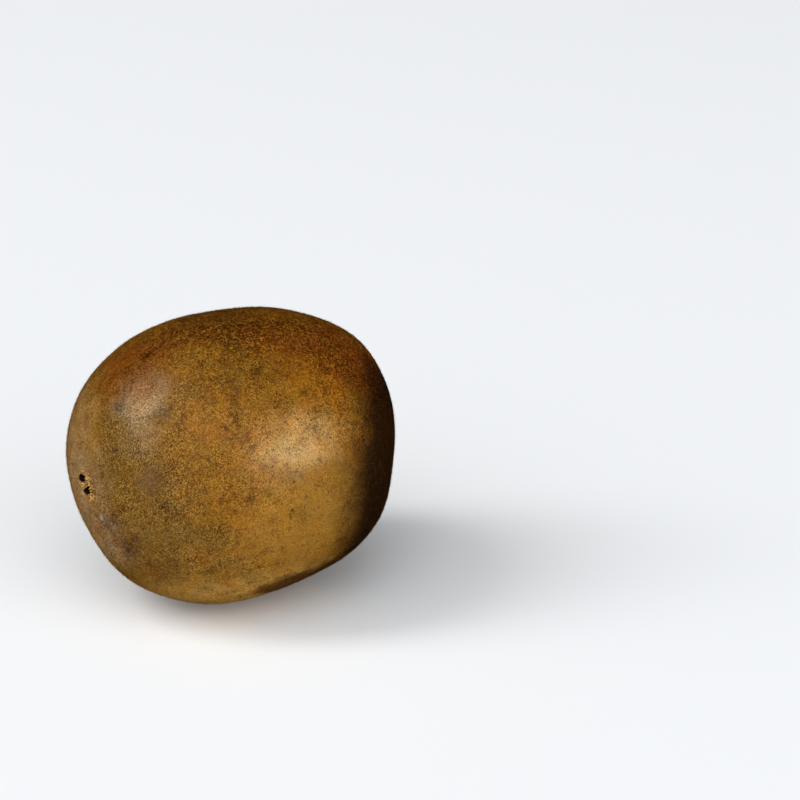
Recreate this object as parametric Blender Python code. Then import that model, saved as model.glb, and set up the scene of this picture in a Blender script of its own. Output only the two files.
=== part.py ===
"""A whole dried monk fruit, lying on its side on a small flat spot.

One solid: the rind grew as one piece with its stem scar and its blossom scar.
The fruit's long axis runs along X, with the stem scar at -X and the blossom scar at +X.
Metres, +Z up. The origin is the middle of the fruit's footprint, on the surface that it lies on.
"""

from math import cos, exp, pi, radians, sin, sqrt

import bmesh
import bpy
from mathutils import Matrix, Vector

# Driving dimensions of the rind, before its hollows are pressed in
HALF_LENGTH = 0.0309
RADIUS = 0.0268
FULLNESS = 2.27  # 2 is an ellipsoid, and more fills out both shoulders
STEM_END_SWELL = 0.010  # how much thicker the stem half is than the middle
LEAN = radians(1.7)  # the fruit lies with its stem end this much higher
FLAT_SPOT_DEPTH = 0.0003

# Broad hollows (below zero) and one fuller shoulder, left as the rind dried:
# direction from the middle, height and spread in radians
DRIED_FORMS = (
    ((0.29, -0.48, -0.83), -0.00095, 0.38),
    ((0.85, -0.52, -0.04), -0.00130, 0.42),
    ((-0.87, 0.32, -0.37), -0.00085, 0.38),
    ((0.73, -0.12, 0.68), 0.00085, 0.40),
    ((-0.20, 0.85, 0.48), -0.00050, 0.45),
    ((0.55, 0.78, -0.25), -0.00060, 0.40),
)

# Gentle unevenness all over: height, waves per metre along each axis, and phase
SWELLS = (
    (0.00010, (34, 21, -30), 0.4),
    (0.00007, (-28, 47, 38), 2.1),
    (0.00004, (66, -40, 52), 4.0),
)

# Stem scar: a low corky collar round a sunken floor with two deep pits
STEM_SCAR_RADIUS = 0.0023
STEM_COLLAR_HEIGHT = 0.00020
STEM_COLLAR_WIDTH = 0.00036
STEM_FLOOR_DEPTH = 0.00040
# Each pit: middle across the scar (Y, Z), half width along Y and along Z, depth
STEM_PITS = (
    ((0.00118, 0.00076), (0.00088, 0.00056), 0.0016),
    ((-0.00012, -0.00084), (0.00115, 0.00066), 0.0019),
)
PIT_WALL = 0.32  # share of a pit's half width that its sloping wall takes

# Blossom scar: the round stub of the style in a shallow dimple
BLOSSOM_DIMPLE_DEPTH = 0.00035
BLOSSOM_DIMPLE_SPREAD = 0.0024  # out here the dimple has about a third of its depth
BLOSSOM_STUB_RADIUS = 0.0011  # halfway down the stub's sloping side
BLOSSOM_STUB_SIDE = 0.00066  # width of that side
BLOSSOM_STUB_HEIGHT = 0.00060

# Mesh: meridians round the long axis and rings along it, closer together at the two scars
MERIDIANS = 72
RINGS = 58
RING_CROWDING = 0.86

RIND_COLOUR = (0.235, 0.125, 0.033, 1.0)


def smooth_step(value):
    value = min(1.0, max(0.0, value))
    return value * value * (3 - 2 * value)


def crowd_rings(direction):
    """The same meridian, with the ring moved towards the nearer end of the fruit."""
    across = sqrt(direction.y**2 + direction.z**2)
    if across < 1e-6:
        return direction
    share = Vector((-direction.x, across)).angle(Vector((1, 0))) / pi
    angle = pi * share - 0.5 * RING_CROWDING * sin(2 * pi * share)
    scale = sin(angle) / across
    return Vector((-cos(angle), direction.y * scale, direction.z * scale))


def rind_body(direction):
    """The point of the plain rind that a direction from its middle meets."""
    across = sqrt(direction.y**2 + direction.z**2)
    size = (abs(direction.x) ** FULLNESS + across**FULLNESS) ** (1 / FULLNESS)
    radius = RADIUS * (1 - STEM_END_SWELL * direction.x) / size
    return Vector((HALF_LENGTH * direction.x / size, radius * direction.y, radius * direction.z))


def dried_height(direction):
    """How far the dried forms lift the rind, in metres, and below zero where they sink it."""
    return sum(
        height * exp(-((direction.angle(Vector(towards)) / spread) ** 2))
        for towards, height, spread in DRIED_FORMS
    )


def swell_height(point):
    """The height of the gentle waves in the rind, in metres."""
    return sum(
        height * sin(2 * pi * point.dot(Vector(waves)) + phase) for height, waves, phase in SWELLS
    )


def stem_relief(point):
    """The height of the stem scar above the rind round it, in metres."""
    out = sqrt(point.y**2 + point.z**2)
    if point.x > 0 or out > 2 * STEM_SCAR_RADIUS:
        return 0.0
    collar = STEM_COLLAR_HEIGHT * exp(-(((out - STEM_SCAR_RADIUS) / STEM_COLLAR_WIDTH) ** 2))
    floor = STEM_FLOOR_DEPTH * smooth_step((STEM_SCAR_RADIUS - out) / (2 * STEM_COLLAR_WIDTH))
    deepest = 0.0
    for middle, half, depth in STEM_PITS:
        off = sqrt(((point.y - middle[0]) / half[0]) ** 2 + ((point.z - middle[1]) / half[1]) ** 2)
        deepest = max(deepest, depth * smooth_step((1 - off) / PIT_WALL))
    return collar - floor - deepest


def blossom_relief(point):
    """The height of the blossom scar above the rind round it, in metres."""
    out = sqrt(point.y**2 + point.z**2)
    if point.x < 0 or out > 3 * BLOSSOM_DIMPLE_SPREAD:
        return 0.0
    dimple = BLOSSOM_DIMPLE_DEPTH * exp(-((out / BLOSSOM_DIMPLE_SPREAD) ** 2))
    share_up = 0.5 + (BLOSSOM_STUB_RADIUS - out) / BLOSSOM_STUB_SIDE
    return BLOSSOM_STUB_HEIGHT * smooth_step(share_up) - dimple


def rind_point(direction):
    """The point of the finished rind that a direction from its middle meets."""
    point = rind_body(direction)
    scars = stem_relief(point) + blossom_relief(point)
    return point + direction * (dried_height(direction) + swell_height(point) + scars)


def flatten_where_it_lies(shape):
    """Presses the lowest part of the rind level, so that the fruit rests on a small flat spot."""
    level = min(vertex.co.z for vertex in shape.verts) + FLAT_SPOT_DEPTH
    for vertex in shape.verts:
        vertex.co.z = max(vertex.co.z, level)


def stand_on_origin(shape):
    """Moves the middle of the footprint to the origin."""
    lows = [min(vertex.co[axis] for vertex in shape.verts) for axis in range(3)]
    highs = [max(vertex.co[axis] for vertex in shape.verts) for axis in range(3)]
    footprint = Vector(((lows[0] + highs[0]) / 2, (lows[1] + highs[1]) / 2, lows[2]))
    bmesh.ops.translate(shape, verts=shape.verts, vec=-footprint)


def rind_mesh():
    """A sphere of meridians and rings with its poles at the two scars, drawn out to the rind."""
    shape = bmesh.new()
    poles_on_long_axis = Matrix.Rotation(pi / 2, 4, "Y")
    bmesh.ops.create_uvsphere(
        shape, u_segments=MERIDIANS, v_segments=RINGS, radius=1.0, matrix=poles_on_long_axis
    )
    for vertex in shape.verts:
        vertex.co = rind_point(crowd_rings(vertex.co.normalized()))
    lean = Matrix.Rotation(LEAN, 3, "Y")
    bmesh.ops.rotate(shape, verts=shape.verts, cent=(0, 0, 0), matrix=lean)
    flatten_where_it_lies(shape)
    stand_on_origin(shape)
    bmesh.ops.recalc_face_normals(shape, faces=shape.faces)
    mesh = bpy.data.meshes.new("monk_fruit")
    shape.to_mesh(mesh)
    shape.free()
    mesh.shade_smooth()
    return mesh


def rind_material():
    material = bpy.data.materials.new("dry_rind")
    material.use_nodes = True
    surface = material.node_tree.nodes["Principled BSDF"]
    surface.inputs["Base Color"].default_value = RIND_COLOUR
    surface.inputs["Roughness"].default_value = 0.55
    surface.inputs["Metallic"].default_value = 0.0
    return material


def main():
    for old in list(bpy.data.objects):
        bpy.data.objects.remove(old)
    collection = bpy.data.collections.new("monk_fruit")
    bpy.context.scene.collection.children.link(collection)
    fruit = bpy.data.objects.new("monk_fruit", rind_mesh())
    fruit.data.materials.append(rind_material())
    collection.objects.link(fruit)


main()
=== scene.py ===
"""A whole dried monk fruit, dressed for a picture.

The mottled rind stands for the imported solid, and carries a short nap, the torn fibres of the stem scar
and the dry husk of the blossom scar. The script is laid out as a Blender add-on: each piece has an
operator, and main() calls them in order. Metres, +Z up, stem scar at -X, blossom scar at +X.
"""

from math import cos, pi, radians, sin

import bmesh
import bpy
import numpy as np
from bpy.props import FloatProperty, FloatVectorProperty, IntProperty, PointerProperty
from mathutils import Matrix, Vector


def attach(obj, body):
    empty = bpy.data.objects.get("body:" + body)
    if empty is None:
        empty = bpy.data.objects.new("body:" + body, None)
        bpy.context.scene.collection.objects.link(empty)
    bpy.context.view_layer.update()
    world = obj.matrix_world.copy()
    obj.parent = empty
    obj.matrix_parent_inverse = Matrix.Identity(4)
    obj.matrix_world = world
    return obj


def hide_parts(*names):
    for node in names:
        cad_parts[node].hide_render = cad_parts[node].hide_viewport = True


bl_info = {
    "name": "Monk Fruit Dresser",
    "version": (1, 0, 0),
    "blender": (4, 5, 0),
    "location": "3D View > Sidebar > Monk Fruit",
    "description": "Grows the rind, nap and scars of a dried monk fruit over its solid",
    "category": "Object",
}

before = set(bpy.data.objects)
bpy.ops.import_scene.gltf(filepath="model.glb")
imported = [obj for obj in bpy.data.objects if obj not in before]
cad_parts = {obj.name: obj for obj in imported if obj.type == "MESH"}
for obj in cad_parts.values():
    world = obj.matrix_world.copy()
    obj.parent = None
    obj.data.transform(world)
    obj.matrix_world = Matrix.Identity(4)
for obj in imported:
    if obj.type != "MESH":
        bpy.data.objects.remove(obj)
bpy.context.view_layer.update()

NODE = "monk_fruit"
BODY = "root"
MM = 0.001

# Colours of the dry rind and its scars, linear
OCHRE = (0.225, 0.100, 0.008)
TAN = (0.330, 0.166, 0.024)
# Painted light: the underside made paler as though lit from the floor
FLOOR_LIT_TAN = (0.520, 0.300, 0.070)
# Partly a worn, paler patch and partly a painted highlight
WORN_TAN_AND_HIGHLIGHT = (0.470, 0.275, 0.090)
# Partly bleached rind and partly painted highlight, sheen and pale rim
BLEACHED_AND_SHEEN = (0.310, 0.200, 0.105)
GOLD = (0.250, 0.105, 0.004)
AMBER = (0.300, 0.122, 0.004)
OLIVE = (0.160, 0.078, 0.007)
DULL_OLIVE = (0.195, 0.104, 0.020)
RUSSET = (0.160, 0.030, 0.001)
ORANGE = (0.240, 0.070, 0.004)
DEEP_RUSSET = (0.070, 0.012, 0.001)
# Umber; on the flank and its low edge it is also painted shade
UMBER_AND_SHADE = (0.020, 0.006, 0.001)
# Partly a bruise and partly painted shade along the low front edge
DARK_BRUISE_AND_SHADE = (0.085, 0.024, 0.003)
PLUM_GREY = (0.125, 0.068, 0.040)
INK_BROWN = (0.035, 0.022, 0.018)
PORE_BROWN = (0.035, 0.013, 0.002)
PALE_SPECK = (0.480, 0.300, 0.095)
GOLDEN_SPECK = (0.450, 0.214, 0.028)
CHALKY = (0.500, 0.400, 0.290)
CORK = (0.080, 0.030, 0.005)
PIT_BROWN = (0.006, 0.002, 0.001)
FIBRE_ROOT = (0.170, 0.058, 0.006)
FIBRE_TIP = (0.820, 0.500, 0.160)
HUSK_ROOT = (0.040, 0.015, 0.004)
HUSK_TIP = (0.190, 0.100, 0.038)
NAP_ROOT = (0.120, 0.050, 0.005)
NAP_TIP = (0.450, 0.238, 0.048)

# Casts of the mottling: what each channel of the colour below is multiplied by
AMBER_CAST = (1.08, 0.92, 0.60)
OLIVE_CAST = (0.88, 0.97, 1.10)
DARK_CLOUD = (0.72, 0.62, 0.50)
LIGHT_CLOUD = (1.16, 1.17, 1.15)
PLUM_CAST = (0.74, 0.70, 1.10)
DARK_GRIT = (0.33, 0.26, 0.13)
LIGHT_GRIT = (1.28, 1.38, 1.60)
# Dark nap is also painted shade on the hairs of the flank and the low front edge; pale nap is partly pale
# fuzz and partly painted sheen and floor light
DARK_NAP_AND_SHADE = (0.18, 0.14, 0.10)
PALE_NAP_AND_SHEEN = (1.35, 1.55, 2.60)
# Reflections of the waxy rind are this warm
GLOSS_TINT = (1.0, 0.90, 0.70, 1.0)

# Noises of the rind: breadth of blotches in mm, detail, roughness, and a shift that sets it apart
HUE = (4.5, 3, 0.5, (11, 2, 60))
CLOUD = (2.8, 4, 0.65)
BLOOM = (1.3, 3, 0.6, (3, 50, 9))
GRAIN = (0.26, 1, 0.8)
# Smooth steps: where each starts and ends, and its values there where they aren't 0 and 1
CALMED = (0, 1, 1, 0.5)  # mottling and grit, into the calm belly
DARK_GRAINS = (0.72, 0.96)
LIGHT_GRAINS = (0.66, 0.46)
PALE_TINT = (0, 1, 0.42, 0.04)  # of light grit, into the dark flank
OFF_FLANK = (0, 0.4, 1, 0)
COARSE_DARK = (0.62, 0.80, 0, 0.60)
COARSE_LIGHT = (0.70, 0.90, 0, 0.46)
CROWN_SPARKS = (0, 1, 0, 0.60)
TORN_CORK = (2.3, 1.6, 0, 0.85)  # from mm off the middle of the stem scar's torn side
DRY_HUSK = (2.4, 1.2, 0, 0.8)  # from mm off the middle of the blossom scar
# Patches: a noise and a step of it
OLIVE_GROUND = ((14, 2), (0.40, 0.62))
RUSSET_BLUSH = ((9, 3, 0.5, (40, 7, 3)), (0.54, 0.74, 0, 0.22))
GRITTY = ((5, 2, 0.5, (70, 3, 6)), (0.36, 0.64, 0.60, 1))
WORN_MARKS = ((0.55, 2, 0.5, (5, 31, 8)), (0.40, 0.56, 0.45, 1))
PORES_KEPT = ((5, 2), (0.38, 0.62, 0.15, 0.75))
SPARKS_KEPT = ((4, 2, 0.5, (2, 8, 90)), (0.35, 0.60, 0.2, 0.8))
TORN_STRAY = ((0.8, 3), (0.3, 0.7, -0.5, 0.5))  # gives mm
ROUGHNESS = ((3.5, 3), (0.3, 0.7, 0.28, 0.38))
# How colours stray from their places: waves in a mm, and the reach in mm
WANDERED = (0.22, 7.0)
RAGGED = (1.6, 3.0)
FRAYED = (1.6, 0.5)

SOFTNESS = 0.6  # of an edge, unless it is given
# Broad stains of the rind, some of them partly painted highlights, reflections or shade: middle and reach
# in mm, colour, strength, and softness of the edge
STAINS = (
    ("golden flank", (-13, -20, 41), (11, 9, 9), GOLD, 0.65),
    ("olive crown", (-7, -9, 51), (8, 8, 6), OLIVE, 0.75),
    ("olive stem shoulder", (-26, -15, 27), (9, 9, 12), DULL_OLIVE, 0.75),
    ("tan stem edge", (-29, 4, 34), (4, 7, 9), TAN, 0.6),
    ("russet top", (3, 0, 54), (24, 10, 5), DEEP_RUSSET, 0.7, 0.5),
    ("dark russet brow", (9, -8.5, 51.5), (13, 4.5, 3.5), DEEP_RUSSET, 0.66),
    ("tan crown", (-12.5, -7, 50), (5, 4, 3.5), TAN, 0.35),
    ("russet shoulder", (20, -11, 45), (11, 10, 8), RUSSET, 0.8),
    ("orange shoulder", (9, -13, 48), (8, 7, 7), ORANGE, 0.5),
    ("tan belly", (-2, -27, 22), (13, 6, 12), TAN, 0.8, 0.5),
    # Painted light: the underside made paler as though lit from the floor
    ("painted-floor-light pale underside", (-8, -16, 5), (20, 15, 8), FLOOR_LIT_TAN, 0.75, 0.5),
    ("amber belly", (-15, -24, 31), (6, 6, 6), AMBER, 0.55),
    ("amber brow", (5.5, -18.5, 45), (7, 4, 3.5), AMBER, 0.6),
    ("amber by the flank", (10.5, -22, 37), (3, 5, 7), AMBER, 0.7),
    ("deep russet shoulder", (13.5, -12, 48), (6, 4.5, 4), DEEP_RUSSET, 0.5),
    ("dull brow", (-7.5, -15.8, 47.3), (4.5, 3, 3), UMBER_AND_SHADE, 0.16),
    ("dull stem side", (-25.2, -15.5, 31.5), (3.5, 4, 4.5), UMBER_AND_SHADE, 0.16),
    ("dull low stem side", (-24, -18.6, 26), (3, 3.5, 3.5), UMBER_AND_SHADE, 0.18),
    ("amber rim", (10, 0, 52.3), (6, 3.5, 2.5), AMBER, 0.45),
    ("tan low stem side", (-18, -20.5, 16.5), (8, 5, 4.5), TAN, 0.5),
    # Partly a worn, paler patch and partly a painted highlight, with its paler middle
    ("painted-highlight worn shoulder", (0.5, -24, 37.3), (8.5, 5, 4.8), WORN_TAN_AND_HIGHLIGHT, 0.68),
    ("paler middle of it, painted highlight", (-0.5, -24.5, 36.3), (6, 3, 2.8), WORN_TAN_AND_HIGHLIGHT, 0.5, 0.5),
    # Partly bleached rind and partly a painted highlight and sheen on the stem shoulder and side
    ("painted-highlight bleached shoulder", (-22.4, -6, 45.6), (4.2, 5, 6), BLEACHED_AND_SHEEN, 0.8),
    ("painted-sheen bleached stem side", (-25, -11.8, 39.5), (3.5, 4, 3), BLEACHED_AND_SHEEN, 0.35),
    # Partly bleached rind and partly a painted pale rim of sheen at the stem end
    ("painted-sheen bleached stem end", (-33, 3, 23), (4.5, 11, 17), BLEACHED_AND_SHEEN, 0.8),
    ("olive by the scar", (-27, -11, 31.5), (4, 5, 5), OLIVE, 0.55),
    # The same, low and at the edge of the stem end: partly bleached, partly painted floor light and sheen
    ("painted-floor-light bleached low stem end", (-29.5, -3, 16.5), (4, 6.5, 5.5), BLEACHED_AND_SHEEN, 0.6),
    ("painted-sheen bleached stem edge", (-28.5, 8, 36), (5, 6, 7), BLEACHED_AND_SHEEN, 0.5),
    ("russet upper stem end", (-20, 2, 48), (7, 9, 6), RUSSET, 0.65),
    ("bruise under the scar", (-29, -8, 20.5), (4, 5, 4), PLUM_GREY, 0.35),
    # Partly a bruise and partly painted shade along the low front edge, with its right end
    ("painted-shade low bruise", (2, -17.8, 7.3), (9, 4, 4), DARK_BRUISE_AND_SHADE, 0.9, 0.3),
    ("its right end", (10, -18.5, 10), (6, 4, 4), DARK_BRUISE_AND_SHADE, 0.9, 0.3),
    # Painted shade, partly a dark patch, on the low edge of the flank
    ("painted-shade low edge of the flank", (15, -24, 22.5), (8.5, 6, 9), UMBER_AND_SHADE, 0.6),
    ("russet back", (6, 22, 38), (13, 9, 10), RUSSET, 0.55),
    ("olive back", (-14, 22, 26), (11, 8, 12), DULL_OLIVE, 0.6),
    ("tan back", (14, 22, 18), (10, 8, 9), TAN, 0.6),
    ("blossom end", (30, 5, 28), (4, 9, 10), DULL_OLIVE, 0.45),
)

# Mottling, bottom layer first: patches, cast, and whether the calm belly has less of it
MOTTLING = (
    ((HUE, (0.5, 0.64, 0, 0.6)), AMBER_CAST, True),
    ((HUE, (0.5, 0.36, 0, 0.6)), OLIVE_CAST, True),
    ((CLOUD, (0.5, 0.68)), DARK_CLOUD, True),
    ((CLOUD, (0.5, 0.34)), LIGHT_CLOUD, True),
    ((BLOOM, (0.54, 0.7, 0, 0.7)), PLUM_CAST, False),
)

# Areas with a look of their own: middle and reach in mm, and softness of the edge
CALM_BELLY = ((5, -26, 23), (16, 9, 13), 0.5)
CROWN = ((2, 4, 56), (30, 22, 12), 0.5)
SHOULDER = ((14, -18, 42), (10, 12, 14), 0.5)
# The dark flank is partly a dark brown patch and partly painted shade on the blossom side
SHADED_FLANK = ((31, -18, 22), (22, 22.5, 26.5), 0.22)
# The dark flank pales towards the back, by a step over the mm along this way
FLANK_WAY = (0.50, 0.87, 0.0)
FLANK_FADE = (1, 16, 1, 0.3)

# Breadth of the finest and of the coarser speckles in mm, and how much chance is in the finest
GRIT_SIZE = 0.20
COARSE_GRIT_SIZE = 0.32
GRIT_CHANCE = 0.4

# Strewn dots: spacing and radius in mm, and the share that is kept, unless it varies
FLECKS = {"spacing": 3.2, "radius": 0.60, "kept": 0.5}
PORES = {"spacing": 0.95, "radius": 0.21}
SPECKS = {"spacing": 0.6, "radius": 0.15, "kept": 0.45}
SPARKS = {"spacing": 1.0, "radius": 0.34}
BESIDE_PORES = (9, 4, 6)  # shift that keeps the specks and sparks out of the pores
DOT_SIZES = (0, 1, 0.5, 1.4)  # step from chance to the size of a dot against the radius
DOT_CORE = 0.45  # share of its radius that a dot covers fully

# Strengths of the layers where they are whole
FLANK_STRENGTH = 0.95
FLECK_STRENGTH = 0.40
PORE_STRENGTH = 0.70
SPECK_STRENGTH = 0.45
# What pores and the dark flank add to the roughness
PORE_ROUGHNESS = 0.25
FLANK_ROUGHNESS = 0.10
# Fine bump: shares of grain and specks, growth into golden areas, and height in metres
GRAIN_BUMP = -0.9
SPECK_BUMP = 0.5
GOLDEN_BUMP = (0, 1, 1, 1.8)
BUMP_HEIGHT = 0.00008

# Small marks: middle and reach in mm, colour and strength
MARKS = (
    ("dark fleck", (-17.8, 0.1, 49.6), (1.4, 0.8, 1), PIT_BROWN, 0.95),
    ("its neighbour", (-14.8, 0.2, 51), (1.2, 0.9, 0.7), DEEP_RUSSET, 0.8),
    ("faint seam", (-8.8, -15.8, 47), (0.5, 2, 1.8), PORE_BROWN, 0.5),
    ("its middle", (-10, -18, 44.8), (0.5, 2, 1.8), PORE_BROWN, 0.5),
    ("its foot", (-11, -19.9, 42.4), (0.5, 1.8, 1.8), PORE_BROWN, 0.4),
    ("pale dot on it", (-8.9, -16.6, 46.5), (0.3, 0.3, 0.3), CHALKY, 0.4),
    ("scraped spot", (-30.3, -4.8, 22.8), (0.7, 0.9, 0.7), CHALKY, 0.6),
    ("lower scraped spot", (-29.6, -8, 21.9), (0.5, 0.6, 0.5), CHALKY, 0.6),
    ("bruise", (-28.1, -10.7, 18.5), (1.9, 2, 1.7), INK_BROWN, 0.65),
    ("upper bruise", (-27.8, -12.5, 21), (1.1, 1.2, 1), INK_BROWN, 0.6),
    ("bruise by the scrape", (-29.8, -6.9, 22.2), (1.3, 2.4, 1.4), INK_BROWN, 0.35),
    ("russet fringe", (-30.2, -2.4, 25.3), (0.9, 1, 0.9), RUSSET, 0.4),
    ("shoulder smudge", (-25.6, -4, 42.8), (1.2, 1.4, 1.4), INK_BROWN, 0.65),
    ("upper smudge", (-21.3, -12.2, 43.6), (1.3, 1.4, 1.3), INK_BROWN, 0.6),
    ("middle smudge", (-25.6, -14.6, 32.6), (2.6, 2.6, 2.4), PLUM_GREY, 0.6),
    ("golden speck", (-9.3, -23.1, 38.1), (0.8, 0.8, 0.8), PORE_BROWN, 0.65),
    ("worn speck", (3.4, -19.4, 44.6), (0.9, 0.9, 0.9), PORE_BROWN, 0.65),
    ("shoulder speck", (1.5, -17.2, 47), (0.7, 0.7, 0.7), PORE_BROWN, 0.55),
    ("russet speck", (9.8, -16.1, 46.5), (1, 1, 1), DEEP_RUSSET, 0.75),
    ("crown speck", (-4.1, -15.1, 48.3), (0.9, 0.9, 0.9), PORE_BROWN, 0.45),
    ("belly speck", (-3.8, -26.6, 25.5), (0.5, 0.5, 0.5), PORE_BROWN, 0.8),
    ("belly smudge", (-11.3, -25.2, 29.7), (1, 1, 1.8), PORE_BROWN, 0.45),
    ("upper belly speck", (-7.9, -26, 30), (0.6, 0.6, 0.6), PORE_BROWN, 0.6),
    ("flank speck", (1.7, -26.5, 29.5), (0.6, 0.6, 0.6), PORE_BROWN, 0.6),
    # Lower edge of that worn patch and painted highlight
    ("painted-highlight worn shoulder's edge", (-2.7, -26.1, 32.2), (2.2, 1, 1), PLUM_GREY, 0.55),
    ("low dashes", (-17.7, -19.9, 14.7), (2, 1.6, 0.8), PORE_BROWN, 0.55),
    ("low stem smudge", (-23, -16.8, 16.6), (2, 1.8, 1.2), DEEP_RUSSET, 0.5),
    ("low speck", (-16.2, -17.1, 10), (1.3, 1.1, 0.8), PORE_BROWN, 0.45),
    ("spot in the painted-shade low bruise", (-2.4, -21, 10.3), (1.4, 1.2, 0.9), INK_BROWN, 0.7),
    ("back fleck", (12, 20, 40), (0.9, 0.9, 0.9), PIT_BROWN, 0.6),
    ("back smudge", (-8, 25.5, 33), (1.6, 1.3, 1.9), PLUM_GREY, 0.55),
    ("blossom speck", (20, 15, 15), (1, 1, 1), PORE_BROWN, 0.6),
)

# Shallow dents of the rind: middle and radius in mm, and depth in metres
DENTS = (
    ((-17, 0.8, 50.2), 2, 0.00016),
    ((-28.3, -10.3, 19), 2.6, 0.00018),
    ((-29.9, -6.3, 22), 2.2, 0.00012),
    ((3.5, -19.4, 44.6), 2.2, 0.00012),
    ((-9.7, -22.2, 39.7), 1.8, 0.00010),
    ((8, -19.5, 9), 3.2, 0.00020),
    ((12, 20, 40), 2.4, 0.00018),
    ((-8, 25.5, 33), 3, 0.00016),
    ((20, 15, 15), 2.6, 0.00018),
)

# Lighter strands: their breadth in U, how light they get against the tip's colour, and to what share
LIGHTER_BREADTH = 0.03
LIGHTER = 1.6
LIGHTER_SHARE = 0.35
ROOT_TO_TIP = (0, 0.8)  # step in V from the root's colour to the tip's
# Coats of the nap: name, length against the average hair, and seed
NAP_COATS = (("nap_undercoat", 0.7, 5), ("nap_middle_coat", 1.0, 11), ("nap_guard_hairs", 1.35, 23))
# Columns in the UV map of strands, for the plain, the dark and the pale ones: the first, and how many
SHADES = 32
PLAIN, DARK, PALE = 0, 1, 2
FIRST_SHADE = np.array((0, 16, 24))
SHADES_OF_TONE = np.array((16, 8, 8))
# Corners of a face across its column, and V of a strand's root and what is added to it up to the tip
FACE_U = (0.1, 0.9, 0.5)
FACE_V = (0.02, 0.96)

TUFT = 0.4  # breadth of the tufts that the nap is clotted into, in mm
TUFT_BLUR = 0.2  # how far hairs stray from their tuft, in breadths of a tuft
TUFT_REPEAT = 64  # tufts along each axis until their tones repeat
TONE_EDGE = (0.75, 1.15)  # where the edge of a toned place lies, from hair to hair
# Where the nap isn't plain: middle and reach in mm, its tone, and the share of tufts that have it
TONED_NAP = (
    # Stem end and underside: partly pale fuzz and partly painted sheen and floor light
    ("stem end", (-31, 4, 26), (8, 16, 20), PALE, 0.75),
    ("underside", (-8, -16, 4), (20, 15, 8), PALE, 0.60),
    ("everywhere", (0, 0, 27), (60, 60, 60), DARK, 0.40),
    ("russet top", (3, 0, 54), (28, 15, 7), DARK, 0.60),
    ("its sparks", (3, 0, 54), (28, 15, 7), PALE, 0.14),
    ("shoulder", (14, -14, 44), (12, 10, 12), DARK, 0.50),
    ("its sparks", (14, -14, 44), (12, 10, 12), PALE, 0.12),
    # Dark flank and low front edge: partly dark fuzz and partly painted shade
    ("dark flank", (26, -20, 22), (18, 18, 26), DARK, 1.0),
    ("painted-shade low bruise", (2, -17.8, 7.3), (9, 4, 4), DARK, 1.0),
    ("its right end", (10, -18.5, 10), (6, 4, 4), DARK, 1.0),
)

# Hairs of the nap: how far they stray from lying along the fruit, the angles at which they stand up, and
# their lengths and thicknesses against the average
NAP_STRAY = 0.7
NAP_ANGLES = (15, 70)
NAP_LENGTHS = (0.6, 1.4)
NAP_THICKNESSES = (0.7, 1.2)
HAIR_SIDES = 3
FIBRE_SIDES = 5
# Thickness of fibres against the average, how far they curl in metres, and random seeds
STEM_THICKNESSES = (0.6, 1.4)
HUSK_THICKNESSES = (0.7, 1.6)
CURL = 0.00010
RIM_CURL = 0.00008
STEM_SEED, HUSK_SEED, TUFT_SEED = 31, 47, 3

# Pits of the stem scar, as the solid has them: middle (sideways, upwards) and half widths in mm
PITS = (((1.22, 0.84), (1.15, 0.88)), ((-0.14, -0.94), (1.50, 0.95)))
PIT_REACH = 2.5  # half depth of a pit's colour, in mm
PIT_SOFTNESS = 0.15
TORN_SIDE = (0, -0.9, 0.2)  # middle of the scar's torn side from the scar's own, in mm
# Bridge between the pits, in metres: middle (sideways, upwards), heading and half breadth, half length, and
# how far fibres stray from even gaps
BRIDGE = ((0.00050, -0.00006), (0.85, -0.53), 0.00036)
BRIDGE_HALF_LENGTH = 0.0019
BRIDGE_SPREAD = 0.00014
# Torn side of the rim, in metres: its start and its turn, its distance from the middle and what that grows
# by, and how far fibres stray from it
RIM_TURN = (radians(88), radians(137))
RIM_RING = (0.00210, 0.00065)
RIM_SPREAD = 0.00026
# Husk of the blossom scar, in metres: how far out its roots are, how far tips lean out from there, their
# height, radius of the stub, and height of the roots beside it and on it
HUSK_RING = (0.0004, 0.0013)
HUSK_LEAN = (0.00005, 0.00085)
HUSK_HEIGHT = (0.00010, 0.00055)
STUB_RADIUS = 0.0009
HUSK_ROOTS = (-0.00045, -0.00010)
HUSK_RISE = 0.4  # share of its height that a fibre's tip and its arch each take

# Relief of the scars, in reaches of the stem scar: end of the cork, and end of the whole husk
CORK_END = 1.3
HUSK_WHOLE = 0.4
# Relief of the rind, from cloudy textures: name, grain and height in metres, and where it grows
RELIEFS = (
    ("slow_swell", 0.0090, 0.00014, "clear_of_floor"),
    ("leathery_grain", 0.0022, 0.00006, "clear_of_floor"),
    ("fine_grain", 0.0009, 0.00004, "clear_of_floor"),
    ("torn_cork", 0.0005, 0.00022, "stem_scar"),
    ("dry_husk", 0.0006, 0.00016, "blossom_scar"),
)

# Soft boxes: name, direction from the fruit, width, height, power, and whether shadows fall from it
LIGHTS = (
    ("key_box", (-0.66, 0.27, 0.71), 0.7, 1.7, 20.0, True),
    ("low_front_box", (0.35, -0.88, 0.30), 1.6, 0.7, 18.0, False),
    ("high_front_box", (-0.32, -0.54, 0.80), 1.6, 1.6, 6.0, True),
)
FLOOR_RADIUS = 4.0
DOME_EDGE = (-0.15, 0.35)  # how far the dark half of the dome reaches, and where it is fully lit
BACKDROP = 0.8  # brightness of the dome where the camera sees it


class RindSettings(bpy.types.PropertyGroup):
    subdivisions: IntProperty(
        name="Subdivisions", description="How often the solid's faces are split", default=2, min=0, max=3
    )
    relief: FloatProperty(
        name="Relief", description="Height against the real relief's", default=1.0, min=0.0, max=3.0
    )
    scar_reach: FloatProperty(
        name="Scar Reach", description="Radius of the stem scar's torn cork", default=0.0031, unit="LENGTH"
    )


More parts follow.
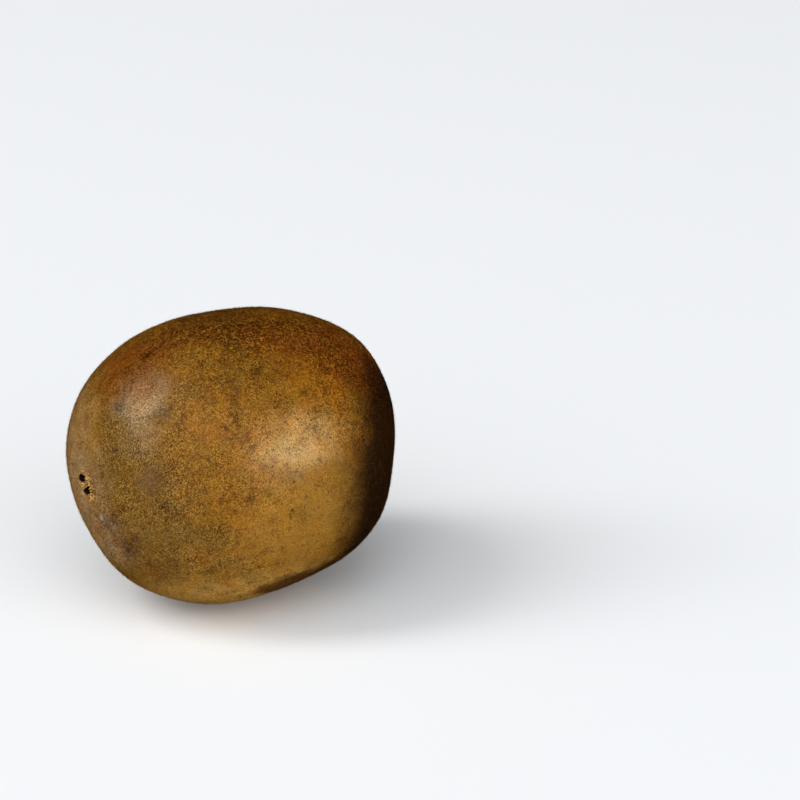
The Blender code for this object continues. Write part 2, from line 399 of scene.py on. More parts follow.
class NapSettings(bpy.types.PropertyGroup):
    hairs: IntProperty(name="Hairs", description="Hairs in each coat", default=44000, min=100, max=66000)
    length: FloatProperty(
        name="Length", description="Length of an average hair", default=0.00030, unit="LENGTH"
    )
    thickness: FloatProperty(
        name="Thickness", description="Thickness of a hair at its root", default=0.000032, unit="LENGTH"
    )
    bare_radius: FloatProperty(
        name="Bare Radius", description="No hairs grow this near a scar", default=0.0030, unit="LENGTH"
    )
    bare_height: FloatProperty(
        name="Bare Height", description="No hairs grow this near the floor", default=0.0005, unit="LENGTH"
    )


class ScarSettings(bpy.types.PropertyGroup):
    bridge_fibres: IntProperty(
        name="Bridge Fibres", description="Fibres between the stem scar's pits", default=10, min=1
    )
    rim_fibres: IntProperty(
        name="Rim Fibres", description="Fibres on the stem scar's torn side", default=155, min=1
    )
    husk_fibres: IntProperty(
        name="Husk Fibres", description="Frayed fibres of the blossom scar", default=220, min=1
    )
    thickness: FloatProperty(
        name="Thickness", description="Thickness of a fibre at its root", default=0.00014, unit="LENGTH"
    )


class StageSettings(bpy.types.PropertyGroup):
    aim: FloatVectorProperty(
        name="Aim", description="Middle of the view", default=(0.0276, -0.0132, 0.0357), subtype="XYZ"
    )
    distance: FloatProperty(name="Distance", description="From camera to aim", default=0.62, unit="LENGTH")
    azimuth: FloatProperty(
        name="Azimuth", description="Turn of the camera", default=radians(-32.6), unit="ROTATION"
    )
    elevation: FloatProperty(
        name="Elevation", description="Camera's height above level", default=radians(22), unit="ROTATION"
    )
    lens: FloatProperty(name="Lens", description="Focal length in millimetres", default=151.8)
    light_distance: FloatProperty(
        name="Light Distance", description="From the fruit to each soft box", default=2.5, unit="LENGTH"
    )
    light_height: FloatProperty(
        name="Light Aim", description="Height that the soft boxes face", default=0.027, unit="LENGTH"
    )
    dome_front: FloatVectorProperty(
        name="Dome Front", description="Side that the soft dome lights from", default=(-0.72, -0.69, 0.0)
    )
    dome_strength: FloatProperty(
        name="Dome Strength", description="Brightness of the dome's lit half", default=1.14
    )
    dome_back: FloatProperty(name="Dome Back", description="Brightness of its other half", default=0.08)
    dome_colour: FloatVectorProperty(
        name="Dome Colour", description="Colour of its light", default=(0.98, 0.99, 1.0), subtype="COLOR"
    )
    floor_colour: FloatVectorProperty(
        name="Floor", description="Colour of the floor", default=(0.862, 0.875, 0.890), subtype="COLOR"
    )


class Wiring:
    """Adds nodes to one shader tree. An input is given as a value or as a socket to link."""

    def __init__(self, tree):
        self.tree = tree

    def feed(self, socket, value):
        if isinstance(value, bpy.types.NodeSocket):
            self.tree.links.new(value, socket)
        else:
            socket.default_value = value

    def node(self, kind, inputs=(), **settings):
        made = self.tree.nodes.new("ShaderNode" + kind)
        for name, value in settings.items():
            setattr(made, name, value)
        for socket, value in dict(inputs).items():
            self.feed(made.inputs[socket], value)
        return made

    def maths(self, operation, *values):
        return self.node("Math", enumerate(values), operation=operation).outputs[0]

    def times(self, first, second):
        return self.maths("MULTIPLY", first, second)

    def vectors(self, operation, *values):
        made = self.node("VectorMath", enumerate(values), operation=operation)
        return made.outputs["Value" if operation in {"LENGTH", "DISTANCE", "DOT_PRODUCT"} else "Vector"]

    def step(self, value, low, high, bottom=0.0, top=1.0):
        """Rises smoothly from bottom to top while value goes from low to high."""
        inputs = {"Value": value, "From Min": low, "From Max": high, "To Min": bottom, "To Max": top}
        return self.node("MapRange", inputs, interpolation_type="SMOOTHSTEP").outputs["Result"]

    def noise(self, place, breadth, detail=2.0, rough=0.5, shift=None):
        """Cloudy noise from 0 to 1, whose blotches are about that broad."""
        place = self.vectors("ADD", place, shift) if shift else place
        inputs = {"Vector": place, "Scale": 1 / breadth, "Detail": detail, "Roughness": rough}
        return self.node("TexNoise", inputs).outputs["Fac"]

    def patches(self, place, noise, rise):
        """A smooth step over a noise."""
        return self.step(self.noise(place, *noise), *rise)

    def strayed(self, place, waves, reach):
        """The place, moved aside at random by up to half the reach."""
        drift = self.node("TexNoise", {"Vector": place, "Scale": waves, "Detail": 3.0}).outputs["Color"]
        drift = self.vectors("SUBTRACT", drift, (0.5, 0.5, 0.5))
        return self.vectors("MULTIPLY_ADD", drift, (reach,) * 3, place)

    def chances(self, place, breadth):
        """Three random numbers from 0 to 1 for each cell of that breadth."""
        cells = self.node("TexVoronoi", {"Vector": place, "Scale": 1 / breadth}).outputs["Color"]
        return self.node("SeparateColor", {"Color": cells}).outputs

    def mix(self, share, below, above, blend="MIX"):
        """The colour below, covered by the colour above to that share."""
        made = self.node("Mix", data_type="RGBA", blend_type=blend)
        for index, value in ((0, share), (6, below), (7, above)):
            plain = isinstance(value, tuple) and len(value) == 3
            self.feed(made.inputs[index], (*value, 1.0) if plain else value)
        return made.outputs[2]

    def cast(self, share, below, factors):
        """The colour below, with its channels multiplied by the factors to that share."""
        return self.mix(share, below, factors, "MULTIPLY")

    def use(self, group, **inputs):
        """Places a group that tells how much something covers, with its inputs given by name."""
        made = self.node("Group", node_tree=group)
        for name, value in inputs.items():
            self.feed(made.inputs[name.capitalize()], value)
        return made.outputs["Cover"]


def cover_group(name, inputs, build):
    """The node group of that name. It is built once: build(wiring, inputs) gives how much it covers."""
    if name in bpy.data.node_groups:
        return bpy.data.node_groups[name]
    tree = bpy.data.node_groups.new(name, "ShaderNodeTree")
    for label, kind in inputs.items():
        tree.interface.new_socket(label, in_out="INPUT", socket_type="NodeSocket" + kind)
    tree.interface.new_socket("Cover", in_out="OUTPUT", socket_type="NodeSocketFloat")
    given = tree.nodes.new("NodeGroupInput").outputs
    taken = tree.nodes.new("NodeGroupOutput").inputs
    tree.links.new(build(Wiring(tree), given), taken["Cover"])
    return tree


def stain_group():
    """A soft-edged stain."""

    def build(wire, given):
        away = wire.vectors("SUBTRACT", given["Place"], given["Middle"])
        reached = wire.vectors("LENGTH", wire.vectors("DIVIDE", away, given["Reach"]))
        outer = wire.maths("ADD", 1.0, given["Softness"])
        inner = wire.maths("SUBTRACT", 1.0, given["Softness"])
        return wire.step(reached, outer, inner)

    inputs = {"Place": "Vector", "Middle": "Vector", "Reach": "Vector", "Softness": "Float"}
    return cover_group("soft stain", inputs, build)


def dots_group():
    """Round dots strewn through space, such as pores."""

    def build(wire, given):
        per_mm = wire.maths("DIVIDE", 1.0, given["Spacing"])
        cells = wire.node("TexVoronoi", {"Vector": given["Place"], "Scale": per_mm})
        chance = wire.node("SeparateColor", {"Color": cells.outputs["Color"]}).outputs
        radius = wire.times(given["Radius"], per_mm)
        radius = wire.times(radius, wire.step(chance[0], *DOT_SIZES))
        spot = wire.step(cells.outputs["Distance"], radius, wire.times(radius, DOT_CORE))
        return wire.times(spot, wire.maths("LESS_THAN", chance[1], given["Kept"]))

    inputs = {"Place": "Vector", "Spacing": "Float", "Radius": "Float", "Kept": "Float"}
    return cover_group("strewn dots", inputs, build)


def bare_material(name, roughness, specular):
    """A new material with only its Principled shader: the material, its wiring and the shader."""
    material = bpy.data.materials.new(name)
    material.use_nodes = True
    surface = material.node_tree.nodes["Principled BSDF"]
    surface.inputs["Roughness"].default_value = roughness
    surface.inputs["Specular IOR Level"].default_value = specular
    return material, Wiring(material.node_tree), surface


def stained(wire, place, middle, reach, softness=SOFTNESS):
    """How much of a soft-edged stain covers the place."""
    return wire.use(stain_group(), place=place, middle=middle, reach=reach, softness=softness)


def layer(wire, colour, cover, strength, tint):
    """The colour, covered by a tint to the share of its cover times its strength."""
    return wire.mix(wire.times(cover, strength), colour, tint)


def add_stains(wire, place, wandered):
    """The ground of the rind and its broad stains, some of them partly painted highlights, reflections and
    shade.
    """
    colour = wire.mix(wire.patches(place, *OLIVE_GROUND), OCHRE, OLIVE)
    colour = wire.mix(wire.patches(place, *RUSSET_BLUSH), colour, RUSSET)
    for _, middle, reach, tint, strength, *softness in STAINS:
        cover = stained(wire, wandered, middle, reach, *softness)
        colour = layer(wire, colour, cover, strength, tint)
    return colour


def add_mottling(wire, colour, place, lively):
    """Warmer and cooler, darker and lighter blotches."""
    for patches, factors, calmed in MOTTLING:
        share = wire.patches(place, *patches)
        if calmed:
            share = wire.times(share, lively)
        colour = wire.cast(share, colour, factors)
    return colour


def shaded_flank(wire, wandered):
    """How much of the dark flank, partly a dark brown patch and partly painted shade, covers a place."""
    along = wire.vectors("DOT_PRODUCT", wandered, FLANK_WAY)
    return wire.times(stained(wire, wandered, *SHADED_FLANK), wire.step(along, *FLANK_FADE))


def add_grit(wire, colour, place, grain, lively, golden, flank, speck):
    """The finest speckles, and the coarser ones of the golden areas."""
    grit = wire.maths("MULTIPLY_ADD", wire.chances(place, GRIT_SIZE)[0], GRIT_CHANCE, grain)
    strewn = wire.times(wire.patches(place, *GRITTY), lively)
    dark = wire.times(wire.step(grit, *DARK_GRAINS), strewn)
    colour = wire.cast(dark, colour, DARK_GRIT)
    light = wire.times(wire.step(grit, *LIGHT_GRAINS), strewn)
    colour = wire.cast(light, colour, LIGHT_GRIT)
    colour = layer(wire, colour, light, wire.step(flank, *PALE_TINT), speck)

    chance = wire.chances(place, COARSE_GRIT_SIZE)
    coarse = wire.times(golden, wire.step(flank, *OFF_FLANK))
    dark = wire.times(coarse, wire.step(chance[0], *COARSE_DARK))
    colour = wire.cast(dark, colour, DARK_GRIT)
    return layer(wire, colour, coarse, wire.step(chance[1], *COARSE_LIGHT), GOLDEN_SPECK)


def add_marks(wire, colour, place, ragged):
    """The small marks, with ragged edges and worn patches."""
    worn = wire.patches(place, *WORN_MARKS)
    for _, middle, reach, tint, strength in MARKS:
        cover = wire.times(stained(wire, ragged, middle, reach), worn)
        colour = layer(wire, colour, cover, strength, tint)
    return colour


def add_dots(wire, colour, place, ragged, crown, speck):
    """Flecks, pores, specks and sparks: the colour, and the covers of the pores and the specks."""
    dots = dots_group()
    flecks = wire.use(dots, place=ragged, **FLECKS)
    colour = layer(wire, colour, flecks, FLECK_STRENGTH, PORE_BROWN)
    kept = wire.patches(place, *PORES_KEPT)
    pores = wire.use(dots, place=ragged, kept=kept, **PORES)
    colour = layer(wire, colour, pores, PORE_STRENGTH, PORE_BROWN)
    beside = wire.vectors("ADD", ragged, BESIDE_PORES)
    specks = wire.use(dots, place=beside, **SPECKS)
    colour = layer(wire, colour, specks, SPECK_STRENGTH, speck)
    kept = wire.patches(place, *SPARKS_KEPT)
    sparks = wire.use(dots, place=beside, kept=kept, **SPARKS)
    return layer(wire, colour, sparks, wire.step(crown, *CROWN_SPARKS), GOLDEN_SPECK), pores, specks


def add_scars(wire, colour, place, stem, blossom):
    """Cork, pits and husk of the scars: the colour, and the cover of the pits."""
    out = wire.vectors("DISTANCE", place, tuple(stem / MM + Vector(TORN_SIDE)))
    torn = wire.maths("ADD", out, wire.patches(place, *TORN_STRAY))
    colour = wire.mix(wire.step(torn, *TORN_CORK), colour, CORK)
    frayed = wire.strayed(place, *FRAYED)
    sunk = 0.0
    for (sideways, upwards), half_widths in PITS:
        middle = tuple(stem / MM + Vector((0, sideways, upwards)))
        pit = stained(wire, frayed, middle, (PIT_REACH, *half_widths), PIT_SOFTNESS)
        colour = wire.mix(pit, colour, PIT_BROWN)
        sunk = wire.maths("MAXIMUM", pit, sunk)
    out = wire.vectors("DISTANCE", place, tuple(blossom / MM))
    return wire.mix(wire.step(out, *DRY_HUSK), colour, HUSK_ROOT), sunk


def rind_material(stem, blossom):
    """The dry rind, from its broad stains to its pores and scars."""
    material, wire, surface = bare_material("dry_rind_skin", 0.5, 0.42)
    # Places in mm
    place = wire.vectors("MULTIPLY", wire.node("TexCoord").outputs["Object"], (1 / MM,) * 3)
    wandered = wire.strayed(place, *WANDERED)
    ragged = wire.strayed(place, *RAGGED)
    lively = wire.step(stained(wire, wandered, *CALM_BELLY), *CALMED)
    crown = stained(wire, wandered, *CROWN)
    golden = wire.maths("MAXIMUM", crown, stained(wire, wandered, *SHOULDER))
    flank = shaded_flank(wire, wandered)
    grain = wire.noise(place, *GRAIN)
    speck = wire.mix(golden, PALE_SPECK, GOLDEN_SPECK)

    colour = add_stains(wire, place, wandered)
    colour = add_mottling(wire, colour, place, lively)
    # Painted shade, partly a dark brown patch: the flank turns to umber
    colour = layer(wire, colour, flank, FLANK_STRENGTH, UMBER_AND_SHADE)
    colour = add_grit(wire, colour, place, grain, lively, golden, flank, speck)
    colour = add_marks(wire, colour, place, ragged)
    colour, pores, specks = add_dots(wire, colour, place, ragged, crown, speck)
    colour, sunk = add_scars(wire, colour, place, stem, blossom)
    wire.feed(surface.inputs["Base Color"], colour)

    rough = wire.patches(place, *ROUGHNESS)
    rough = wire.maths("MULTIPLY_ADD", pores, PORE_ROUGHNESS, rough)
    rough = wire.maths("MULTIPLY_ADD", flank, FLANK_ROUGHNESS, rough)
    rough = wire.maths("MAXIMUM", rough, sunk)
    wire.feed(surface.inputs["Roughness"], rough)

    height = wire.times(grain, GRAIN_BUMP)
    height = wire.maths("SUBTRACT", height, pores)
    height = wire.maths("MULTIPLY_ADD", specks, SPECK_BUMP, height)
    height = wire.times(height, wire.step(golden, *GOLDEN_BUMP))
    bump = wire.node("Bump", {"Strength": 0.9, "Distance": BUMP_HEIGHT, "Height": height})
    wire.feed(surface.inputs["Normal"], bump.outputs["Normal"])
    surface.inputs["Specular Tint"].default_value = GLOSS_TINT
    return material


def strand_material(name, root, tip, roughness):
    """Hairs or fibres, darker at the root. U picks the tone and shade of each, and V runs to its tip."""
    material, wire, surface = bare_material(name, roughness, 0.1)
    u, v = wire.node("SeparateXYZ", {0: wire.node("TexCoord").outputs["UV"]}).outputs[:2]
    shade = wire.noise(wire.node("CombineXYZ", {0: u}).outputs[0], LIGHTER_BREADTH)
    light = tuple(min(1.0, LIGHTER * value) for value in tip)
    colour = wire.mix(wire.step(v, *ROOT_TO_TIP), root, tip)
    colour = wire.mix(wire.step(shade, 0.3, 0.7, 0, LIGHTER_SHARE), colour, light)
    # The dark tone also paints shade on hairs, and the pale tone paints sheen and floor light
    dark = wire.maths("GREATER_THAN", u, FIRST_SHADE[DARK] / SHADES)
    pale = wire.maths("GREATER_THAN", u, FIRST_SHADE[PALE] / SHADES)
    colour = wire.cast(wire.maths("SUBTRACT", dark, pale), colour, DARK_NAP_AND_SHADE)
    colour = wire.cast(pale, colour, PALE_NAP_AND_SHEEN)
    wire.feed(surface.inputs["Base Color"], colour)
    return material


def only(piece):
    """Selects one object and makes it active."""
    bpy.ops.object.select_all(action="DESELECT")
    piece.select_set(True)
    bpy.context.view_layer.objects.active = piece


def apply_all(piece):
    only(piece)
    for modifier in list(piece.modifiers):
        bpy.ops.object.modifier_apply(modifier=modifier.name)


def belongs(piece, material):
    """Gives the piece its material, and says what it rides on."""
    piece.data.materials.clear()
    piece.data.materials.append(material)
    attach(piece, BODY)


def scar_places():
    """The middles of the stem scar and the blossom scar, where the solid's meridians meet."""
    shape = bmesh.new()
    shape.from_mesh(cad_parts[NODE].data)
    bmesh.ops.remove_doubles(shape, verts=shape.verts, dist=MM / 1000)
    crowded = sorted(shape.verts, key=lambda vertex: len(vertex.link_edges))[-2:]
    poles = sorted((vertex.co.copy() for vertex in crowded), key=lambda place: place.x)
    shape.free()
    return poles


def scar_axes(here, there):
    """The middle of one scar, and the directions outward, across and up there."""
    outward = np.array((here - there).normalized())
    across = np.array((0.0, 1.0, 0.0))
    up = np.cross(outward, across)
    return np.array(here), outward, across, up * np.sign(up[2])


def weigh(piece, name, weight):
    """A vertex group with weight(place) at each vertex."""
    group = piece.vertex_groups.new(name=name)
    for vertex in piece.data.vertices:
        share = weight(vertex.co)
        if share > 0:
            group.add([vertex.index], min(share, 1.0), "REPLACE")


def fall(value, full, none):
    """1 up to full, then down evenly to 0 at none."""
    return min(1.0, max(0.0, (none - value) / (none - full)))


class FRUIT_OT_rind(bpy.types.Operator):
    """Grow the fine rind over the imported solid"""

    bl_idname = "fruit.rind"
    bl_label = "Rind"

    def execute(self, context):
        settings = context.scene.fruit_rind
        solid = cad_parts[NODE]
        rind = solid.copy()
        rind.data = solid.data.copy()
        rind.name = rind.data.name = "fruit_rind"
        context.scene.collection.objects.link(rind)
        only(rind)
        bpy.ops.object.mode_set(mode="EDIT")
        bpy.ops.mesh.select_all(action="SELECT")
        bpy.ops.mesh.remove_doubles(threshold=MM / 1000)
        bpy.ops.mesh.tris_convert_to_quads()
        bpy.ops.object.mode_set(mode="OBJECT")
        finer = rind.modifiers.new("finer", "SUBSURF")
        finer.levels = finer.render_levels = settings.subdivisions
        apply_all(rind)

        stem, blossom = scar_places()
        reach = settings.scar_reach
        weigh(rind, "clear_of_floor", lambda place: place.z / MM)
        weigh(rind, "stem_scar", lambda place: fall((place - stem).length, reach, CORK_END * reach))
        weigh(rind, "blossom_scar", lambda place: fall((place - blossom).length, HUSK_WHOLE * reach, reach))
        for number, (middle, radius, depth) in enumerate(DENTS):
            name = f"dent_{number}"
            middle = Vector(middle) * MM
            weigh(rind, name, lambda place: fall((place - middle).length / MM, 0.0, radius) ** 2)
            dent = rind.modifiers.new(name, "DISPLACE")
            dent.strength = -depth * settings.relief
            dent.mid_level = 0.0
            dent.vertex_group = name
        for name, grain, height, where in RELIEFS:
            texture = bpy.data.textures.new(name, "CLOUDS")
            texture.noise_scale = grain
            relief = rind.modifiers.new(name, "DISPLACE")
            relief.texture = texture
            relief.strength = height * settings.relief
            relief.vertex_group = where
        apply_all(rind)
        rind.vertex_groups.clear()
        for vertex in rind.data.vertices:
            vertex.co.z = max(vertex.co.z, 0.0)
        rind.data.shade_smooth()
        belongs(rind, rind_material(stem, blossom))
        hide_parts(NODE)
        return {"FINISHED"}


def triples(items, name, kind=float):
    """An attribute of all items of a mesh, as an array with three columns."""
    values = np.empty(len(items) * 3, kind)
    items.foreach_get(name, values)
    return values.reshape(-1, 3)


def surface_samples(mesh, number, rng):
    """Random places on a mesh, even over its area, and the normals there."""
    mesh.calc_loop_triangles()
    corners = triples(mesh.loop_triangles, "vertices", np.int32)
    places = triples(mesh.vertices, "co")[corners]
    normals = triples(mesh.vertices, "normal")[corners]
    area = np.linalg.norm(np.cross(places[:, 1] - places[:, 0], places[:, 2] - places[:, 0]), axis=1)
    chosen = rng.choice(len(area), number, p=area / area.sum())
    share = rng.dirichlet((1, 1, 1), number)[:, :, None]
    return (places[chosen] * share).sum(1), unit((normals[chosen] * share).sum(1))


def unit(vectors):
    return vectors / np.linalg.norm(vectors, axis=-1, keepdims=True)


def strands(name, spines, thickness, sides, rng, tones=PLAIN):
    """Strands that taper from root to tip, along their spines. The UV map has a column for each shade."""
    number, knots = spines.shape[:2]
    along = unit(np.gradient(spines, axis=1))
    side = unit(np.cross(along, rng.normal(size=(number, 1, 3))))
    other = np.cross(along, side)
    rings = knots - 1
    taper = np.sqrt(1 - np.arange(rings) / rings)
    radius = thickness[:, None, None] / 2 * taper[None, :, None]
    turns = 2 * pi * np.arange(sides) / sides
    places = np.empty((number, rings * sides + 1, 3))
    for corner, turn in enumerate(turns):
        ring = (side * cos(turn) + other * sin(turn))[:, :rings]
        places[:, corner : rings * sides : sides] = spines[:, :rings] + ring * radius
    places[:, -1] = spines[:, -1]

    faces, heights = [], []
    for corner in range(sides):
        after = (corner + 1) % sides
        for low in range(rings - 1):
            here, beside = low * sides + corner, low * sides + after
            faces += [(here, beside, beside + sides), (here, beside + sides, here + sides)]
            heights += [(low, low, low + 1), (low, low + 1, low + 1)]
        faces.append(((rings - 1) * sides + corner, (rings - 1) * sides + after, rings * sides))
        heights.append((rings - 1, rings - 1, rings))
    all_faces = np.arange(number)[:, None, None] * places.shape[1] + np.array(faces)
    mesh = bpy.data.meshes.new(name)
    mesh.from_pydata(places.reshape(-1, 3), [], all_faces.reshape(-1, 3))
    shape = (number, len(faces), 3)
    column = FIRST_SHADE[tones] + rng.integers(SHADES_OF_TONE[tones], size=number)
    column = column[:, None, None]
    u = (column + np.broadcast_to(np.array(FACE_U), shape)) / SHADES
    v = np.broadcast_to(FACE_V[0] + FACE_V[1] * np.array(heights) / rings, shape)
    mesh.uv_layers.new(name="OFBake").uv.foreach_set("vector", np.stack([u, v], -1).ravel())
    mesh.shade_smooth()
    return mesh


def add_strands(name, spines, thickness, sides, material, rng, tones=PLAIN):
    piece = bpy.data.objects.new(name, strands(name, spines, thickness, sides, rng, tones))
    bpy.context.scene.collection.objects.link(piece)
    belongs(piece, material)


def curled(starts, ends, lift, curl, knots, rng):
    """Spines that rise from start to end in an arch along lift, with a random curl."""
    share = np.linspace(0, 1, knots)[None, :, None]
    spines = starts[:, None] * (1 - share) + ends[:, None] * share
    spines = spines + lift[:, None] * np.sin(pi * share)
    bend = rng.normal(0, curl, (len(starts), 2, 3))[:, :, None]
    return spines + bend[:, 0] * np.sin(pi * share) + bend[:, 1] * np.sin(2 * pi * share)


class FRUIT_OT_stem_fibres(bpy.types.Operator):
    """Lay the torn fibres across the stem scar and round its rim"""

    bl_idname = "fruit.stem_fibres"
    bl_label = "Stem Fibres"

    def execute(self, context):
        settings = context.scene.fruit_scars
        rng = np.random.default_rng(STEM_SEED)
        stem, outward, across, up = scar_axes(*scar_places())

        def on_scar(sideways, upwards, out):
            return stem + sideways[:, None] * across + upwards[:, None] * up + out[:, None] * outward

        # The bridge, whose fibres lie across the line that joins the pits
        number = settings.bridge_fibres
        (sideways, upwards), (side, rise), apart = BRIDGE
        half = rng.uniform(0.6, 1.0, number) * BRIDGE_HALF_LENGTH
        low, high = rng.uniform(-0.00010, 0.00035, (2, number))
        even = np.linspace(-apart, apart, number)
        first, last = even + rng.normal(0, BRIDGE_SPREAD, (2, number))
        starts = on_scar(sideways - half * side - first * rise, upwards - half * rise + first * side, low)
        ends = on_scar(sideways + half * side - last * rise, upwards + half * rise + last * side, high)
        lift = rng.uniform(0.00000, 0.00030, number)[:, None] * outward
        spines = curled(starts, ends, lift, CURL, 8, rng)
        thick = settings.thickness * rng.uniform(*STEM_THICKNESSES, number)
        material = strand_material("stem_fibre", FIBRE_ROOT, FIBRE_TIP, 0.6)
        add_strands("stem_bridge_fibres", spines, thick, FIBRE_SIDES, material, rng)

        # The torn side of the rim, whose fibres lean in over the pits or lie back on the rind
        number = settings.rim_fibres
        share = rng.uniform(0, 1, number)
        turn = RIM_TURN[0] + RIM_TURN[1] * share
        ring = RIM_RING[0] + RIM_RING[1] * share + rng.normal(0, RIM_SPREAD, number)
        reach = rng.normal(-0.00010, 0.00040, number)
        swing = rng.normal(0, 0.25, number)
        starts = on_scar(ring * np.cos(turn), ring * np.sin(turn), np.full(number, -0.00010))
        end_ring, end_turn = ring + reach, turn + swing
        height = rng.uniform(0.00015, 0.00060, number)
        ends = on_scar(end_ring * np.cos(end_turn), end_ring * np.sin(end_turn), height)
        lift = rng.uniform(0, 0.00020, number)[:, None] * outward
        spines = curled(starts, ends, lift, RIM_CURL, 6, rng)
        thick = settings.thickness * rng.uniform(*STEM_THICKNESSES, number)
        add_strands("stem_rim_fibres", spines, thick, FIBRE_SIDES, material, rng)
        return {"FINISHED"}


class FRUIT_OT_blossom_husk(bpy.types.Operator):
    """Put the dry, frayed husk round the stub of the style"""

    bl_idname = "fruit.blossom_husk"
    bl_label = "Blossom Husk"

    def execute(self, context):
        settings = context.scene.fruit_scars
        rng = np.random.default_rng(HUSK_SEED)
        blossom, outward, across, up = scar_axes(*reversed(scar_places()))
        number = settings.husk_fibres
        turn = rng.uniform(0, 2 * pi, number)
        ring = rng.uniform(*HUSK_RING, number)
        lean = rng.uniform(*HUSK_LEAN, number)
        round_stub = np.cos(turn)[:, None] * across + np.sin(turn)[:, None] * up
        sunk = np.where(ring > STUB_RADIUS, *HUSK_ROOTS)
        starts = blossom + ring[:, None] * round_stub + sunk[:, None] * outward
        height = rng.uniform(*HUSK_HEIGHT, number)
        rise = (height * HUSK_RISE)[:, None] * outward
        ends = blossom + (ring + lean)[:, None] * round_stub + rise
        spines = curled(starts, ends, rise, CURL, 6, rng)
        thick = settings.thickness * rng.uniform(*HUSK_THICKNESSES, number)
        material = strand_material("husk_fibre", HUSK_ROOT, HUSK_TIP, 0.7)
        add_strands("blossom_husk_fibres", spines, thick, FIBRE_SIDES, material, rng)
        return {"FINISHED"}


class FRUIT_OT_nap(bpy.types.Operator):
    """Grow the short nap of the rind"""

    bl_idname = "fruit.nap"
    bl_label = "Nap"

    def execute(self, context):
        settings = context.scene.fruit_nap
        rind = bpy.data.objects["fruit_rind"]
        scars = [np.array(place) for place in scar_places()]
        material = strand_material("nap_hair", NAP_ROOT, NAP_TIP, 0.8)
        for name, longer, seed in NAP_COATS:
            rng = np.random.default_rng(seed)
            roots, normals = surface_samples(rind.data, settings.hairs, rng)
            away = np.min([np.linalg.norm(roots - scar, axis=1) for scar in scars], axis=0)
            grows = (away > settings.bare_radius) & (roots[:, 2] > settings.bare_height)
            roots, normals = roots[grows], normals[grows]
            number = len(roots)
            lay = np.array([1.0, 0.0, 0.0]) + rng.normal(0, NAP_STRAY, (number, 3))
            lay = unit(lay - normals * (lay * normals).sum(1, keepdims=True))
            lift = np.radians(rng.uniform(*NAP_ANGLES, number))[:, None]
            heading = normals * np.sin(lift) + lay * np.cos(lift)
            length = settings.length * longer * rng.uniform(*NAP_LENGTHS, number)
            # A hair that points down ends above the floor
            room = roots[:, 2] / np.maximum(-heading[:, 2], 0.1)
            length = np.where(heading[:, 2] < 0, np.minimum(length, room), length)
            roots = roots - normals * settings.thickness
            spines = np.stack([roots, roots + heading * length[:, None]], axis=1)
            thickness = settings.thickness * rng.uniform(*NAP_THICKNESSES, number)
            add_strands(name, spines, thickness, HAIR_SIDES, material, rng, nap_tones(roots / MM, rng))
        return {"FINISHED"}


def nap_tones(places, rng):
    """The tone of each hair, given its place in mm. The hairs of one tuft have one tone."""
    chance = np.random.default_rng(TUFT_SEED)
    tuft = np.floor(places / TUFT + rng.normal(0, TUFT_BLUR, places.shape)).astype(int) % TUFT_REPEAT
    tones = np.full(len(places), PLAIN)
    for _, middle, reach, tone, share in TONED_NAP:
        away = np.linalg.norm((places - middle) / reach, axis=1)
        reached = away < rng.uniform(*TONE_EDGE, len(places))
        chosen = chance.uniform(size=(TUFT_REPEAT,) * 3) < share
        tones[reached & chosen[tuple(tuft.T)]] = tone
    return tones


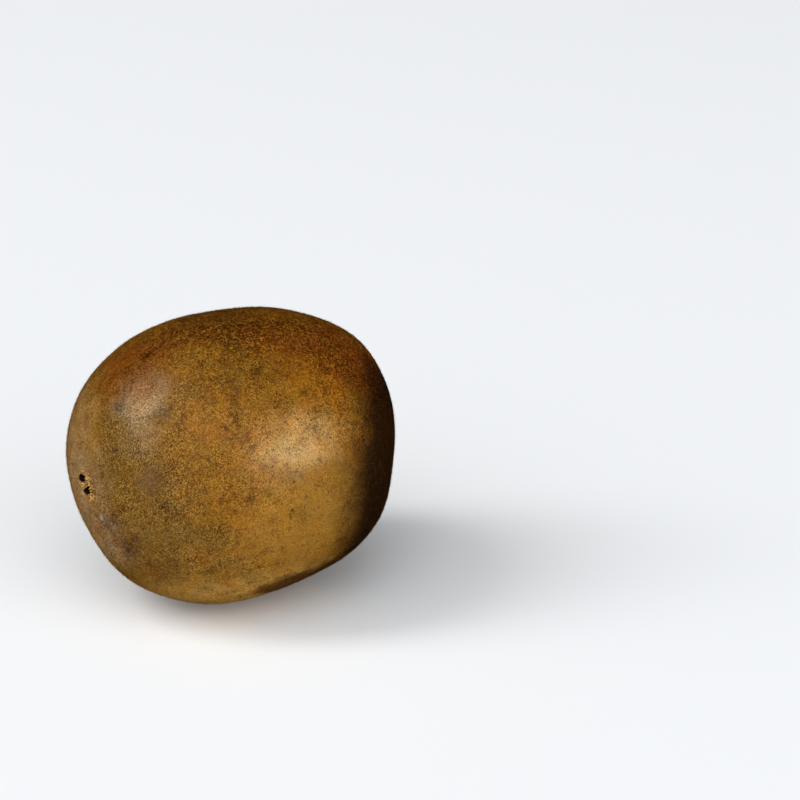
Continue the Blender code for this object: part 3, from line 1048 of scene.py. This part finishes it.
class FRUIT_OT_stage(bpy.types.Operator):
    """Set the pale floor, the soft lights and the camera"""

    bl_idname = "fruit.stage"
    bl_label = "Stage"

    def execute(self, context):
        settings = context.scene.fruit_stage
        bpy.ops.object.select_all(action="DESELECT")
        bpy.ops.mesh.primitive_circle_add(vertices=96, radius=FLOOR_RADIUS, fill_type="NGON")
        floor = context.object
        floor.name = "studio_floor"
        floor.visible_glossy = False
        material, wire, surface = bare_material("studio_paper", 0.9, 0.1)
        surface.inputs["Base Color"].default_value = (*settings.floor_colour, 1.0)
        floor.data.materials.append(material)
        for box in LIGHTS:
            add_light(*box)
        world = bpy.data.worlds.new("studio")
        world.use_nodes = True
        world.cycles_visibility.glossy = False
        context.scene.world = world
        wire = Wiring(world.node_tree)
        seen = wire.node("LightPath").outputs["Is Camera Ray"]
        direction = wire.node("TexCoord").outputs["Generated"]
        facing = wire.vectors("DOT_PRODUCT", direction, tuple(settings.dome_front))
        dome = wire.step(facing, *DOME_EDGE, settings.dome_back, settings.dome_strength)
        background = world.node_tree.nodes["Background"]
        background.inputs["Color"].default_value = (*settings.dome_colour, 1.0)
        wire.feed(background.inputs["Strength"], wire.step(seen, 0.0, 1.0, dome, BACKDROP))
        context.scene.view_settings.view_transform = "Standard"
        context.scene.view_settings.look = "Medium High Contrast"

        turn, rise = settings.azimuth, settings.elevation
        back = Vector((sin(turn) * cos(rise), -cos(turn) * cos(rise), sin(rise)))
        bpy.ops.object.camera_add(
            location=Vector(settings.aim) + back * settings.distance,
            rotation=back.to_track_quat("Z", "Y").to_euler(),
        )
        camera = context.object
        camera.name = "photo_camera"
        camera.data.lens = settings.lens
        camera.data.sensor_width = 36.0
        camera.data.clip_start = 0.01
        context.scene.camera = camera
        return {"FINISHED"}


def add_light(name, towards, width, height, power, shadows):
    """A soft box that faces the fruit."""
    settings = bpy.context.scene.fruit_stage
    towards = Vector(towards)
    place = Vector((0, 0, settings.light_height)) + towards.normalized() * settings.light_distance
    turned = towards.to_track_quat("Z", "Y").to_euler()
    bpy.ops.object.light_add(type="AREA", location=place, rotation=turned)
    light = bpy.context.object
    light.name = name
    light.data.shape = "RECTANGLE"
    light.data.size = width
    light.data.size_y = height
    light.data.energy = power
    light.data.use_shadow = shadows


class FRUIT_PT_panel(bpy.types.Panel):
    bl_label = "Monk Fruit"
    bl_idname = "FRUIT_PT_panel"
    bl_space_type = "VIEW_3D"
    bl_region_type = "UI"
    bl_category = "Monk Fruit"

    def draw(self, context):
        for operator in OPERATORS:
            self.layout.operator(operator.bl_idname)


SETTINGS = {
    "fruit_rind": RindSettings,
    "fruit_scars": ScarSettings,
    "fruit_nap": NapSettings,
    "fruit_stage": StageSettings,
}
OPERATORS = (FRUIT_OT_rind, FRUIT_OT_stem_fibres, FRUIT_OT_blossom_husk, FRUIT_OT_nap, FRUIT_OT_stage)
CLASSES = (*SETTINGS.values(), *OPERATORS, FRUIT_PT_panel)


def register():
    for made in CLASSES:
        bpy.utils.register_class(made)
    for name, group in SETTINGS.items():
        setattr(bpy.types.Scene, name, PointerProperty(type=group))


def unregister():
    for name in SETTINGS:
        delattr(bpy.types.Scene, name)
    for made in reversed(CLASSES):
        bpy.utils.unregister_class(made)


def main():
    register()
    bpy.ops.fruit.rind()
    bpy.ops.fruit.stem_fibres()
    bpy.ops.fruit.blossom_husk()
    bpy.ops.fruit.nap()
    bpy.ops.fruit.stage()


if __name__ == "__main__":
    main()
